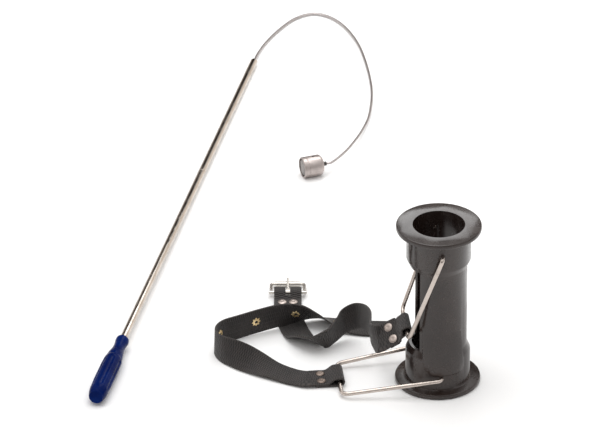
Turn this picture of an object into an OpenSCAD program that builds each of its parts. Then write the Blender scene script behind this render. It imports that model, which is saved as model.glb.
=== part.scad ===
// Cattle magnet retriever set: a long-handled cable magnet and the mouth gag
// that it is passed through. Millimetres. The origin is the middle of the gag's
// base on the axis of its bore. Z is up, and both pieces stand or lie on Z = 0.

/* [Gag body] */
// Height of the gag body, face to face
gag_height = 205; // [190:1:225]
// Outside diameter of both flanges
flange_d = 98; // [92:1:110]
// Thickness of each flange
flange_t = 6; // [4:0.5:9]
// Diameter of the bore that the magnet passes through
bore_d = 60; // [52:1:62]
// Outside diameter of the collars next to the flanges
collar_d = 74; // [72:0.5:80]
// Length of each collar, its sloped shoulder included
collar_l = 51; // [44:1:56]
// Outside diameter of the waist between the collars
waist_d = 66; // [65:0.5:69]
// Opening angle of the side window, in degrees
window_angle = 88; // [60:1:92]
// Height of the bail holes above each end
hole_h = 22; // [18:0.5:26]
// Turn of the bails' side about the vertical, in degrees
gag_turn = 6; // [0:1:20]

/* [Bails] */
// Wire thickness of the bails
bail_d = 5; // [3.5:0.25:6]
// Reach of a bail, from its pivot to its crossbar
bail_reach = 115; // [100:1:130]
// Half of the crossbar's length
bar_half = 34; // [30:0.5:38]
// Slope of the upper bail below the level, as it hangs
upper_hang = 71; // [68:0.5:72]

/* [Straps] */
// Width of the webbing
strap_w = 32; // [24:1:34]
// Thickness of the webbing
strap_t = 1.8; // [1.2:0.1:2]
// Diameter of the rivet caps
cap_d = 10.6; // [8:0.2:12]
// Distance between the two rivets of a loop
rivet_gap = 16; // [12:0.5:18]
// Outside diameter of an eyelet's star
eyelet_d = 12; // [9:0.5:14]

/* [Handle] */
// Length of the handle
handle_l = 132; // [110:1:150]
// Diameter of the handle's grip
handle_d = 22; // [19:0.5:30]

/* [Rod] */
// Outside diameter of the rod
rod_d = 9; // [8:0.25:12]
// Wall of the rod's tubes
rod_wall = 1; // [0.8:0.1:1.5]
// Distance from the handle's end to the tip of the rod
rod_end = 812; // [760:1:860]
// Distance from the handle's end to the first screw joint
joint_1 = 278; // [240:1:320]
// Distance from the handle's end to the second screw joint
joint_2 = 532; // [480:1:580]
// Heading of the rod on the floor, in degrees from +X
rod_heading = 77.4; // [60:0.1:100]

/* [Cable and magnet] */
// Diameter of the wire rope
cable_d = 3; // [2:0.25:4]
// Diameter of the magnet head
magnet_d = 25; // [20:0.5:32]
// Length of the magnet head
magnet_l = 25; // [20:0.5:40]

/* [Hidden] */
$fn = 48;
bore_r = bore_d / 2;
collar_r = collar_d / 2;
waist_r = waist_d / 2;
flange_r = flange_d / 2;
wire_r = bail_d / 2;
run = 0.05;
// loop of webbing round a bar, measured from the bar's centre
bend_r = max(4.4, wire_r + strap_t / 2 + 0.9);
low_h = -(wire_r + strap_t / 2 + 0.3);
bar_z = 0.1 + 1 + strap_t / 2 - low_h;
lower_slope = asin((hole_h - bar_z) / bail_reach);
magnet_heading = 19.4;
magnet_at = [-131.7, 468.2, magnet_d / 2];
rod_foot = [-391, -61.5];
rod_lie = atan((handle_d - rod_d - 0.4) / 2 / (rod_end - 0.64 * handle_l));
rod_high = handle_d / 2 / cos(rod_lie) + 0.64 * handle_l * tan(rod_lie);
spigot_l = 18;

// ---- helpers ----
function turned(p, a) = [p[0] * cos(a) - p[1] * sin(a), p[0] * sin(a) + p[1] * cos(a), p[2]];
function from_gag(p) = turned(p, gag_turn);
function unit(v) = v / norm(v);
function spline(a, b, c, d, t) = 0.5 * (2 * b + (c - a) * t
    + (2 * a - 5 * b + 4 * c - d) * t * t + (3 * b - a - 3 * c + d) * t * t * t);
function smooth(p, n) = let (m = len(p) - 1) concat([for (i = [0:m - 1], k = [0:n - 1])
    spline(p[max(i - 1, 0)], p[i], p[i + 1], p[min(i + 2, m)], k / n)], [p[m]]);
function along(p, i) = let (m = len(p) - 1)
    unit(p[min(i + 1, m)] - p[max(i - 1, 0)]);

// a bar of round section between two points of the XY plane
module bar(a, b, d) {
    v = b - a;
    translate([a[0], a[1], 0]) rotate([0, 90, atan2(v[1], v[0])]) cylinder(h = norm(v), d = d);
}

// round wire bent in the XY plane along the points, with a bend radius at each
module wire(p, r, d) {
    m = len(p) - 1;
    turn = [for (i = [0:m]) i == 0 || i == m ? 0
        : let (u = unit(p[i] - p[i - 1]), v = unit(p[i + 1] - p[i])) atan2(u[0] * v[1] - u[1] * v[0], u * v)];
    cut = [for (i = [0:m]) r[i] * abs(tan(turn[i] / 2))];
    for (i = [0:m - 1]) {
        u = unit(p[i + 1] - p[i]);
        bar(p[i] + u * cut[i], p[i + 1] - u * cut[i + 1], d);
    }
    for (i = [1:m - 1]) {
        u = unit(p[i] - p[i - 1]);
        v = unit(p[i + 1] - p[i]);
        c = p[i] + unit(v - u) * r[i] / cos(turn[i] / 2);
        s = turn[i] > 0 ? p[i] - u * cut[i] - c : p[i] + v * cut[i] - c;
        translate([c[0], c[1], 0]) rotate([0, 0, atan2(s[1], s[0])])
            rotate_extrude(angle = abs(turn[i])) translate([r[i], 0]) circle(d = d);
    }
}
// the same line as points, with k points round each bend
function bent(p, r, k) = let (m = len(p) - 1) [for (i = [0:m])
    if (i == 0 || i == m) [p[i][0], p[i][1], 0]
    else let (u = unit(p[i] - p[i - 1]), v = unit(p[i + 1] - p[i]), a = atan2(u[0] * v[1] - u[1] * v[0], u * v),
            c = p[i] + unit(v - u) * r[i] / cos(a / 2), s = p[i] - u * r[i] * abs(tan(a / 2)) - c)
        each [for (j = [0:k - 1]) let (b = a * j / (k - 1))
            [c[0] + s[0] * cos(b) - s[1] * sin(b), c[1] + s[0] * sin(b) + s[1] * cos(b), 0]]];

// webbing swept along stations of [centre, direction of its width]
module webbing(c, w, width, thick) {
    m = len(c) - 1;
    ring = [for (i = [0:m]) let (t = along(c, i), u = unit(w[i] - (w[i] * t) * t), n = cross(t, u))
        for (k = [[1, 1], [-1, 1], [-1, -1], [1, -1]]) c[i] + u * k[0] * width / 2 + n * k[1] * thick / 2];
    polyhedron(ring, concat([[0, 1, 2], [0, 2, 3]],
        [for (i = [0:m - 1], k = [0:3]) let (a = 4 * i + k, b = 4 * i + (k + 1) % 4) each [[a, a + 4, b + 4], [a, b + 4, b]]],
        [[4 * m, 4 * m + 2, 4 * m + 1], [4 * m, 4 * m + 3, 4 * m + 2]]));
}

// round rope swept along points
module rope(p, d, n) {
    m = len(p) - 1;
    ring = [for (i = [0:m]) let (t = along(p, i), u = unit(cross(t, [0, 0, 1])), v = cross(u, t))
        for (k = [0:n - 1]) p[i] + (u * cos(360 * k / n) + v * sin(360 * k / n)) * d / 2];
    polyhedron(ring, concat([[for (k = [0:n - 1]) n - 1 - k]],
        [for (i = [0:m - 1], k = [0:n - 1]) let (a = n * i + k, b = n * i + (k + 1) % n) each [[a, b, b + n], [a, b + n, a + n]]],
        [[for (k = [0:n - 1]) n * m + k]]));
}

// the loop of webbing round a bar: distance out from the bar, height off it
loop_main = [[32, low_h + strap_t + 0.15], [27, low_h + strap_t + 0.15], [22, low_h + strap_t + 0.15], [14, low_h + strap_t + 0.15],
    [9, 1.2], [5, 4.2]];
loop_bend = [for (a = [75:-30:-75]) [-1 - bend_r * cos(a), low_h + bend_r + bend_r * sin(a)]];
loop_end = [[0, low_h], [5, low_h], [9, low_h], [14, low_h], [20, low_h], [27, low_h]];
loop_all = concat(loop_main, loop_bend, loop_end);
rivet_s = 20;
// the loop leaves its bar square, and turns about its own run by an angle
function loop_turn(s, a) = a * min(max((s - 5) / 9, 0), 1);
function loop_points(b, e, n, w = [0, 0, 0], a = 0) = [for (q = loop_all) let (t = loop_turn(q[0], a))
    b + e * q[0] + (n * cos(t) - w * sin(t)) * q[1]];
function loop_widths(n, w, a) = [for (q = loop_all) let (t = loop_turn(q[0], a)) w * cos(t) + n * sin(t)];
function back(p) = [for (i = [len(p) - 1:-1:0]) p[i]];

lower_b = from_gag([-bail_reach * cos(lower_slope), 8, bar_z]);
upper_b = from_gag([-bail_reach * cos(upper_hang), 0, gag_height - hole_h - bail_reach * sin(upper_hang)]);
out = from_gag([-1, 0, 0]);
side = from_gag([0, 1, 0]);
fall = 30;
lap_turn = 30;
upper_e = from_gag([-cos(fall), 0, -sin(fall)]);
upper_n = from_gag([-sin(fall), 0, cos(fall)]);
upper_top = upper_n * cos(lap_turn) - side * sin(lap_turn);
upper_side = side * cos(lap_turn) + upper_n * sin(lap_turn);
heel = [-172, 182, bar_z];

// raises the stations of a strap until its lower edge clears the floor
lie = 0.3;
function cleared(c, w) = [for (i = [0:len(c) - 1])
    let (t = along(c, i), u = unit(w[i] - (w[i] * t) * t))
    [c[i][0], c[i][1], max(c[i][2], strap_w / 2 * abs(u[2]) + strap_t / 2 * abs(cross(t, u)[2]) + lie)]];
function run_points(r) = let (w = smooth([for (q = r) q[1]], 4))
    cleared(cleared(smooth([for (q = r) q[0]], 4), w), w);

// stations of the eyelet strap beyond its loop: centre, then width direction
eyelet_run = [
    [[-152, -7, 3.4], [0.1, 0.99, 0]], [[-168, 0, 2.2], [0.4, 0.92, 0]],
    [[-190, 11, 4.6], [0.45, 0.89, 0.04]], [[-212, 22, 9], [0.42, 0.75, 0.45]],
    [[-231, 29, 14.4], [0.3, 0.4, 0.85]], [[-247, 38, 16.2], [0.1, 0.12, 0.98]],
    [[-255, 51, 16.4], [0.03, 0, 1]], [[-254, 65, 16.4], [0.03, -0.02, 1]],
    [[-245, 77, 16.4], [0, -0.04, 1]], [[-228, 87, 16.6], [0, -0.06, 1]],
    [[-205, 99, 17.4], [0, -0.07, 1]], [[-183, 108, 18.6], [0.02, -0.12, 0.99]],
    [[-163, 113, 18.2], [0.05, -0.3, 0.95]], [[-144, 116, 14], [0.1, -0.7, 0.7]],
    [[-124, 116, 7.5], [0.1, -0.93, 0.35]], [[-104, 112, 3.2], [-0.15, -0.97, 0.1]],
    [[-84, 108, 1.8], [-0.1, -0.99, 0]], [[-62, 107, 1.7], [0, -1, 0]], [[-38, 107, 1.7], [0, -1, 0]]];
eyelet_c = concat(back(loop_points(lower_b, out, [0, 0, 1])), run_points(eyelet_run));
eyelet_w = concat([for (q = loop_all) side], smooth([for (q = eyelet_run) q[1]], 4));

// stations of the buckle strap between its two loops
buckle_run = [
    [[-69, -3.5, 54.2], [-0.3, 0.78, 0.54]], [[-75, 9, 50.5], [-0.2, 0.35, 0.9]],
    [[-76, 30, 46.5], [-0.03, 0.05, 1]], [[-77, 53, 42], [0, 0, 1]],
    [[-82, 73, 37], [0, 0, 1]], [[-92, 86, 31.5], [0, 0, 1]],
    [[-105, 86, 25], [0, 0, 1]], [[-116, 75, 18.8], [0, -0.15, 0.98]],
    [[-126, 63, 15.4], [-0.1, -0.4, 0.91]], [[-138, 60, 12.4], [-0.42, -0.56, 0.7]],
    [[-150, 72, 8], [-0.75, -0.42, 0.5]], [[-160, 92, 2.6], [-0.9, -0.42, 0.08]],
    [[-166, 112, 1.2], [-0.96, -0.25, 0]], [[-170, 130, 1.3], [-0.99, -0.1, 0]],
    [[-172, 144, 3.2], [-1, 0, 0]]];
buckle_c = concat(back(loop_points(upper_b, upper_e, upper_n, side, lap_turn)), run_points(buckle_run),
    loop_points(heel, [0, -1, 0], [0, 0, 1]));
buckle_w = concat(back(loop_widths(upper_n, side, lap_turn)), smooth([for (q = buckle_run) q[1]], 4),
    [for (q = loop_all) [-1, 0, 0]]);

// stands a part on a strap's face at a point: its Z along the face's normal
module on_face(c, t, w) {
    n = cross(t, w);
    multmatrix([[t[0], w[0], n[0], c[0]], [t[1], w[1], n[1], c[1]], [t[2], w[2], n[2], c[2]], [0, 0, 0, 1]])
        children();
}
// puts a part at one rivet of a loop, its Z through the two layers
module at_rivets(b, e, n, w, offsets) {
    for (k = offsets)
        on_face(b + e * rivet_s + n * (low_h + (strap_t + 0.15) / 2) + w * k, e, cross(n, e)) children();
}
rivet_pair = [-rivet_gap / 2, rivet_gap / 2];
stack_h = strap_t + 0.075;
module rivet() {
    rotate_extrude() polygon([[0, -stack_h - 0.95], [cap_d / 2 - 0.5, -stack_h - 0.95], [cap_d / 2, -stack_h - 0.5],
        [cap_d / 2, -stack_h - 0.08], [1.5, -stack_h - 0.08], [1.5, stack_h + 0.08], [cap_d / 2, stack_h + 0.08],
        [cap_d / 2 - 0.3, stack_h + 0.6], [cap_d / 2 - 1.6, stack_h + 1.2], [1.6, stack_h + 1.35],
        [1.2, stack_h + 0.9], [0, stack_h + 0.9]]);
}
module rivet_hole() { cylinder(h = 3 * strap_t + 3, r = 1.7, center = true); }
// length along the strap up to each station, and the station nearest to a distance from its free end
function lengths(c) = [for (i = 0, s = 0; i < len(c); s = s + (i + 1 < len(c) ? norm(c[i + 1] - c[i]) : 0), i = i + 1) s];
function nearest(l, s) = let (d = [for (x = l) abs(l[len(l) - 1] - s - x)]) search(min(d), d)[0];
eyelet_l = lengths(eyelet_c);
eyelet_at = [for (k = [0:4]) nearest(eyelet_l, 27 + 50 * k)];
module at_eyelets() {
    for (i = eyelet_at) {
        t = along(eyelet_c, i);
        w = eyelet_w[i];
        on_face(eyelet_c[i], t, unit(w - (w * t) * t)) children();
    }
}

// ---- gag ----
module gag_body() {
    color([0.13, 0.12, 0.12]) rotate([0, 0, gag_turn]) difference() {
        union() {
            difference() {
                rotate_extrude($fn = 96) polygon(concat([[bore_r, 0]],
                    edge(flange_r, 0, 1), edge(flange_r, flange_t, -1),
                    [[collar_r + 2.5, flange_t], [collar_r + 0.7, flange_t + 0.7], [collar_r, flange_t + 2.5],
                    [collar_r, collar_l - 9], [waist_r + 0.6, collar_l - 1], [waist_r, collar_l + 0.5],
                    [waist_r, gag_height - collar_l - 0.5], [waist_r + 0.6, gag_height - collar_l + 1],
                    [collar_r, gag_height - collar_l + 9],
                    [collar_r, gag_height - flange_t - 2.5], [collar_r + 0.7, gag_height - flange_t - 0.7],
                    [collar_r + 2.5, gag_height - flange_t]],
                    edge(flange_r, gag_height - flange_t, 1), edge(flange_r, gag_height, -1),
                    [[bore_r, gag_height]]));
                window();
            }
            tongue();
        }
        for (z = [hole_h, gag_height - hole_h])
            translate([0, 0, z]) rotate([90, 0, 0]) cylinder(h = 2 * flange_d, d = bail_d + 2 * run, center = true);
    }
}
// the rounded rim of a flange
function edge(r, z, s) = s > 0 ? [[r - 1.6, z], [r - 0.5, z + 0.5], [r, z + 1.6]]
    : [[r, z - 1.6], [r - 0.5, z - 0.5], [r - 1.6, z]];
module window() {
    a = window_angle / 2;
    translate([0, 0, collar_l]) linear_extrude(gag_height - 2 * collar_l + 1)
        polygon([[0, 0], [-60 * cos(a), 60 * sin(a)], [-80, 0], [-60 * cos(a), -60 * sin(a)]]);
}
// raised panel of the front wall, running down over the lower collar
module tongue() {
    intersection() {
        rotate_extrude($fn = 96) polygon([[waist_r - 1, hole_h + 3], [collar_r + 0.5, hole_h + 3],
            [collar_r + 0.9, hole_h + 4.5], [collar_r + 0.9, collar_l - 3], [collar_r - 0.4, collar_l + 6],
            [waist_r + 1, collar_l + 22], [waist_r - 1, collar_l + 34]]);
        translate([0, -20, 0]) rotate([90, 0, 0]) linear_extrude(40) hull() {
            translate([-8.5, hole_h + 15.5]) circle(r = 12.5);
            translate([18, hole_h + 12]) circle(r = 9);
            translate([-21, collar_l + 34]) square([44, 1]);
        }
    }
}

module bail() {
    y = collar_r + wire_r + 3.5;
    for (k = [-1, 1]) rotate([0, 0, 90 * k]) translate([bore_r + 0.4, 0, 0]) rotate([0, 90, 0])
        cylinder(h = collar_r - bore_r + 0.2, d = bail_d);
    rope(bent([[0, collar_r - 1], [0, y], [-bail_reach, bar_half], [-bail_reach, -bar_half], [0, -y], [0, 1 - collar_r]],
        [0, 4.4, 9, 9, 4.4, 0], 7), bail_d - 0.02, 20);
}
module lower_bail() {
    color([0.86, 0.83, 0.81]) rotate([0, 0, gag_turn]) translate([0, 0, hole_h]) rotate([0, -lower_slope, 0]) bail();
}
module upper_bail() {
    color([0.86, 0.83, 0.81]) rotate([0, 0, gag_turn]) translate([0, 0, gag_height - hole_h])
        rotate([0, -upper_hang, 0]) bail();
}

// ---- head straps ----
module eyelet_strap() {
    color([0.2, 0.18, 0.18]) difference() {
        webbing(eyelet_c, eyelet_w, strap_w, strap_t);
        at_rivets(lower_b, out, [0, 0, 1], side, rivet_pair) rivet_hole();
        at_eyelets() cylinder(h = 3 * strap_t, r = 2.4, center = true, $fn = 24);
    }
}
module buckle_strap() {
    color([0.2, 0.18, 0.18]) difference() {
        webbing(buckle_c, buckle_w, strap_w, strap_t);
        at_rivets(upper_b, upper_e, upper_top, upper_side, rivet_pair) rivet_hole();
        at_rivets(heel, [0, -1, 0], [0, 0, 1], [1, 0, 0], rivet_pair * 0.8) rivet_hole();
        translate(heel + [-3.2, -9, -8]) cube([6.4, 19, 18]);
    }
}
module eyelets() {
    color([0.8, 0.66, 0.38]) at_eyelets() difference() {
        union() {
            cylinder(h = strap_t + 0.9, r = 2.3, center = true, $fn = 24);
            for (s = [-1, 1]) translate([0, 0, s * (strap_t / 2 + 0.25)]) linear_extrude(0.4, center = true)
                polygon([for (k = [0:15]) let (q = (k % 2 == 0 ? eyelet_d / 2 : 3.6)) [q * cos(22.5 * k), q * sin(22.5 * k)]]);
        }
        cylinder(h = 3 * strap_t, r = 1.7, center = true, $fn = 24);
    }
}
module lower_rivets() { color([0.85, 0.8, 0.76]) at_rivets(lower_b, out, [0, 0, 1], side, rivet_pair) rivet(); }
module upper_rivets() { color([0.85, 0.8, 0.76]) at_rivets(upper_b, upper_e, upper_top, upper_side, rivet_pair) rivet(); }
module buckle_rivets() {
    color([0.85, 0.8, 0.76]) at_rivets(heel, [0, -1, 0], [0, 0, 1], [1, 0, 0], rivet_pair * 0.8) rivet();
}

// ---- buckle, in the frame of its heel bar ----
buckle_long = 23;
roller_r = 3.3;
buckle_dip = atan((bar_z - roller_r - 0.1) / buckle_long);
module at_buckle() { translate(heel) rotate([-buckle_dip, 0, 0]) children(); }
module buckle_frame() {
    h = strap_w / 2 + 3.6;
    color([0.78, 0.72, 0.62]) at_buckle() union() {
        bar([-h - 2.4, 0], [h + 2.4, 0], 4);
        wire([[h, 0], [h, buckle_long], [-h, buckle_long], [-h, 0]], [0, 4, 4, 0], 3.6);
    }
}
module buckle_roller() {
    color([0.82, 0.77, 0.68]) at_buckle() translate([0, buckle_long, 0]) rotate([0, 90, 0]) difference() {
        cylinder(h = strap_w - 3, r = roller_r, center = true);
        cylinder(h = strap_w, r = 1.8 + run, center = true);
    }
}
module buckle_prong() {
    color([0.78, 0.72, 0.62]) at_buckle() union() {
        rotate([0, 90, 0]) difference() {
            cylinder(h = 5, r = 4, center = true);
            cylinder(h = 6, r = 2 + run, center = true);
        }
        translate([0, 3.2, 1.2]) rotate([-79, 0, 0]) cylinder(h = buckle_long + 0.5, r1 = 1.6, r2 = 1.3);
    }
}

// ---- retriever, its axis along +Z from the handle's end ----
module laid() {
    translate([rod_foot[0], rod_foot[1], rod_high]) rotate([0, 90 + rod_lie, rod_heading]) children();
}
module tube(a, b, ro, ri) {
    translate([0, 0, a]) difference() {
        cylinder(h = b - a, r = ro);
        translate([0, 0, -1]) cylinder(h = b - a + 2, r = ri);
    }
}
rod_r = rod_d / 2;
rod_in = rod_r - rod_wall;
grip_r = handle_d / 2;
blind = 22;
module handle() {
    l = handle_l / 132;
    color([0.05, 0.14, 0.42]) laid() difference() {
        rotate_extrude($fn = 72) polygon([[0, 0], [grip_r - 3.6, 0], [grip_r - 2.8, 0.7], [grip_r - 2.6, 2.4 * l],
            [grip_r - 1.8, 4.2 * l], [grip_r - 0.9, 9 * l], [grip_r - 0.35, 14 * l], [grip_r - 0.25, 24 * l],
            [grip_r, 32 * l], [grip_r, 68 * l], [grip_r - 0.25, 78 * l], [grip_r - 0.5, 84 * l], [grip_r - 1.3, 86 * l],
            [grip_r - 1.6, 92 * l], [grip_r - 2.1, 96 * l], [grip_r - 3, 101 * l], [grip_r - 3.8, 107 * l],
            [grip_r - 4.2, 113 * l], [grip_r - 4.1, 119 * l], [grip_r - 3.5, 124 * l], [grip_r - 3.2, 127.5 * l],
            [grip_r - 3.4, 130.5 * l], [grip_r - 4.2, handle_l], [0, handle_l]]);
        for (k = [0:5]) rotate([0, 0, 60 * k + 12]) translate([grip_r + 3.2, 0, 17 * l]) {
            cylinder(h = 60 * l, r = 4.5);
            sphere(r = 4.5);
            translate([0, 0, 60 * l]) sphere(r = 4.5);
        }
        translate([0, 0, blind]) cylinder(h = handle_l, r = rod_r);
    }
}
module rod_section_1() { color([0.84, 0.82, 0.8]) laid() tube(blind, joint_1 - 0.05, rod_r, rod_in); }
module rod_section_2() { color([0.84, 0.82, 0.8]) laid() tube(joint_1 + 0.05, joint_2 - 0.05, rod_r, rod_in); }
module rod_section_3() { color([0.84, 0.82, 0.8]) laid() tube(joint_2 + 0.05, rod_end, rod_r, rod_in); }
// the plug of a screw joint: pressed into the nearer section, its thread standing out
module spigot(at) {
    laid() translate([0, 0, at]) union() {
        translate([0, 0, -22]) cylinder(h = 22 - 0.05, r = rod_in);
        translate([0, 0, -1]) cylinder(h = 1 + spigot_l, r = rod_in - 0.8);
    }
}
module socket(at) {
    laid() translate([0, 0, at + 0.05]) difference() {
        cylinder(h = spigot_l + 6, r = rod_in);
        translate([0, 0, -1]) cylinder(h = spigot_l + 3, r = rod_in - 0.8 + run);
    }
}
module spigot_1() { color([0.72, 0.7, 0.68]) spigot(joint_1); }
module spigot_2() { color([0.72, 0.7, 0.68]) spigot(joint_2); }
module socket_1() { color([0.72, 0.7, 0.68]) socket(joint_1); }
module socket_2() { color([0.72, 0.7, 0.68]) socket(joint_2); }
module tip_bush() { color([0.72, 0.7, 0.68]) laid() tube(rod_end - 24, rod_end - 3, rod_in, cable_d / 2); }

// ---- cable and magnet head ----
rod_dir = turned([cos(rod_lie), 0, -sin(rod_lie)], rod_heading);
rod_tip = [rod_foot[0], rod_foot[1], rod_high] + rod_dir * rod_end;
cable_route = [rod_tip - rod_dir * 22, rod_tip - rod_dir * 12, rod_tip, rod_tip + rod_dir * 10, [-208, 757, 3.2],
    [-199, 783, 2.4], [-185, 812, 2], [-169, 837, 2], [-155, 850, 2], [-142, 855, 2], [-129, 852, 2],
    [-114, 839, 2], [-100, 816, 2], [-87, 780, 2], [-79, 741, 2], [-73, 695, 2], [-71, 650, 2.4],
    [-75, 597, 4], [-84, 557, 6.5], [-93, 528, 9], [-102, 504, 11], [-111, 486, 12.2],
    magnet_at + turned([12, 0, 0], magnet_heading), magnet_at + turned([6, 0, 0], magnet_heading),
    magnet_at + turned([1, 0, 0], magnet_heading), magnet_at - turned([6, 0, 0], magnet_heading)];
module cable() { color([0.55, 0.54, 0.52]) rope(smooth(cable_route, 3), cable_d, 8); }
// along the magnet head's axis: 0 at its back face, growing towards its working face
module at_magnet() { translate(magnet_at) rotate([0, -90, magnet_heading]) children(); }
magnet_r = magnet_d / 2;
cup_r = magnet_r - 1.6;
core_r = cup_r - 1.5;
module crimp_sleeve() { color([0.3, 0.29, 0.28]) at_magnet() tube(-5.5, 0, cable_d / 2 + 1.1, cable_d / 2); }
module magnet_housing() {
    color([0.75, 0.74, 0.73]) at_magnet() difference() {
        rotate_extrude($fn = 72) polygon([[cable_d / 2, 0], [magnet_r - 3, 0], [magnet_r - 0.3, 2.7], [magnet_r, 3.4],
            [magnet_r, magnet_l * 0.74], [magnet_r - 0.25, magnet_l * 0.75], [magnet_r - 0.25, magnet_l * 0.77],
            [magnet_r, magnet_l * 0.78], [magnet_r, magnet_l - 0.6], [magnet_r - 0.6, magnet_l],
            [cup_r, magnet_l], [cup_r, 8], [cable_d / 2, 8]]);
        translate([magnet_r, 0, magnet_l * 0.45]) rotate([0, 90, 0]) cylinder(h = 6, r = 1.1, center = true);
    }
}
module magnet_ring() { color([0.09, 0.09, 0.09]) at_magnet() tube(8, magnet_l - 1.6, cup_r, core_r); }
module magnet_core() { color([0.55, 0.54, 0.53]) at_magnet() translate([0, 0, 8.2]) cylinder(h = magnet_l - 0.8 - 8.2, r = core_r); }
module set_screw() {
    color([0.2, 0.2, 0.2]) at_magnet() translate([cup_r + 0.05, 0, magnet_l * 0.45]) rotate([0, 90, 0])
        cylinder(h = 1.15, r = 1.1);
}

gag_body();
lower_bail();
upper_bail();
eyelet_strap();
buckle_strap();
eyelets();
lower_rivets();
upper_rivets();
buckle_rivets();
buckle_frame();
buckle_roller();
buckle_prong();
handle();
rod_section_1();
spigot_1();
socket_1();
rod_section_2();
spigot_2();
socket_2();
rod_section_3();
tip_bush();
cable();
crimp_sleeve();
magnet_housing();
magnet_ring();
magnet_core();
set_screw();
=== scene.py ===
import math

import bmesh
import bpy
from mathutils import Matrix, Vector


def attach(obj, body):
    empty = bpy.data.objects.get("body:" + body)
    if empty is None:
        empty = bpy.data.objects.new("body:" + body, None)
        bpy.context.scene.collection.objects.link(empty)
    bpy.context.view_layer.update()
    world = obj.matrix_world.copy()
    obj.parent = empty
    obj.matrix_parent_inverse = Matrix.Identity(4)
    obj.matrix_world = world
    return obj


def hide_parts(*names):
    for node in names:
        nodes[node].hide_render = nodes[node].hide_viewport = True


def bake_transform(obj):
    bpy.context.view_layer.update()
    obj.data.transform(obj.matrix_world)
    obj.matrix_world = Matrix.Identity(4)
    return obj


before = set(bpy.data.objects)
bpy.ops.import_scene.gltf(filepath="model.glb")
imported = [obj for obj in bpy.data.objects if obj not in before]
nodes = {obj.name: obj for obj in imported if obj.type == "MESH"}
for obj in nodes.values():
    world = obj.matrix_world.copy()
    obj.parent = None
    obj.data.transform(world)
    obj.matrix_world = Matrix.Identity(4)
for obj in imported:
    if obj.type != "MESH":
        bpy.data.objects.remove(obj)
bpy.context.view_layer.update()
mm = 0.001


# node helpers
def addNode(tree, kind, **values):
    node = tree.nodes.new(kind)
    node.location = (180 * len(tree.nodes), 0)
    for name, value in values.items():
        setattr(node, name, value)
    return node


def feed(tree, socket, value):
    # a number or a colour is set on the socket, another node's output is linked to it
    if isinstance(value, (int, float)):
        socket.default_value = value
    elif isinstance(value, tuple):
        socket.default_value = (*value, 1)
    else:
        tree.links.new(value, socket)


def mathNode(tree, operation, *values):
    node = addNode(tree, "ShaderNodeMath", operation=operation)
    for socket, value in zip(node.inputs, values):
        feed(tree, socket, value)
    return node.outputs[0]


def times(tree, a, b):
    return mathNode(tree, "MULTIPLY", a, b)


def plus(tree, a, b):
    return mathNode(tree, "ADD", a, b)


def ripple(tree, phase, wave="SINE"):
    # one rounded hump for each whole step of the phase
    return mathNode(tree, "ABSOLUTE", mathNode(tree, wave, times(tree, phase, math.pi)))


def mapRange(tree, value, low, high, outLow=0.0, outHigh=1.0):
    node = addNode(tree, "ShaderNodeMapRange", interpolation_type="SMOOTHSTEP")
    for label, number in (
        ("Value", value), ("From Min", low), ("From Max", high),
        ("To Min", outLow), ("To Max", outHigh),
    ):
        feed(tree, node.inputs[label], number)
    return node.outputs["Result"]


def noise(tree, vector, scale, detail=3.0, roughness=0.5):
    node = addNode(tree, "ShaderNodeTexNoise")
    for label, value in (
        ("Vector", vector), ("Scale", scale), ("Detail", detail), ("Roughness", roughness),
    ):
        feed(tree, node.inputs[label], value)
    return node.outputs["Fac"]


def mixColour(tree, factor, a, b):
    node = addNode(tree, "ShaderNodeMix", data_type="RGBA")
    for label, value in (("Factor", factor), ("A", a), ("B", b)):
        feed(tree, node.inputs[label], value)
    return node.outputs["Result"]


# camera and studio
cameraSetup = {
    "lens": 540.0,
    "sensor": 36.0,
    "distance": 10.65,
    "elevation": 30.4,
    "lookAt": (-0.1578, 0.3722, 0.0),
    "sees": 60.0,
}
studio = {
    "topColour": (1.0, 0.995, 0.985),
    "topStrength": 1.08,
    "sideColour": (0.2, 0.175, 0.165),
    "topFrom": 0.1,  # how far up the sky the overhead cloth starts, and where it is full
    "topFull": 0.8,
    "cards": (
        # towards, inner and outer edge in degrees, colour
        ((0.03, 0.86, 0.5), 8.0, 25.0, (0.02, 0.013, 0.009)),
        ((0.7, 0.7, 0.16), 10.0, 22.0, (1.1, 1.0, 0.92)),
        ((-0.95, 0.1, 0.25), 12.0, 28.0, (1.1, 1.05, 1.02)),
        ((0.85, -0.45, 0.2), 6.0, 16.0, (0.9, 0.88, 0.86)),
    ),
}
keyLight = {"power": 24.0, "size": 1.8, "at": (-0.5, 0.3, 2.6), "aim": (-0.1, 0.2, 0.05)}
backLight = {"power": 1.9, "size": 0.45, "at": (0.0, 0.78, 0.66), "aim": (0.0, 0.0, 0.2)}
floorSetup = {
    "colour": (0.95, 0.95, 0.95), "size": 12.0, "drop": 0.0003, "roughness": 0.9, "gloss": 0.1,
}


def makeCamera(setup):
    data = bpy.data.cameras.new("studioCamera")
    data.lens = setup["lens"]
    data.sensor_width = setup["sensor"]
    data.clip_end = setup["sees"]
    camera = bpy.data.objects.new("studioCamera", data)
    bpy.context.scene.collection.objects.link(camera)
    tilt = math.radians(setup["elevation"])
    back = Vector((0, -math.cos(tilt), math.sin(tilt)))
    camera.location = Vector(setup["lookAt"]) + back * setup["distance"]
    camera.rotation_euler = (math.pi / 2 - tilt, 0, 0)
    bpy.context.scene.camera = camera


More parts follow.
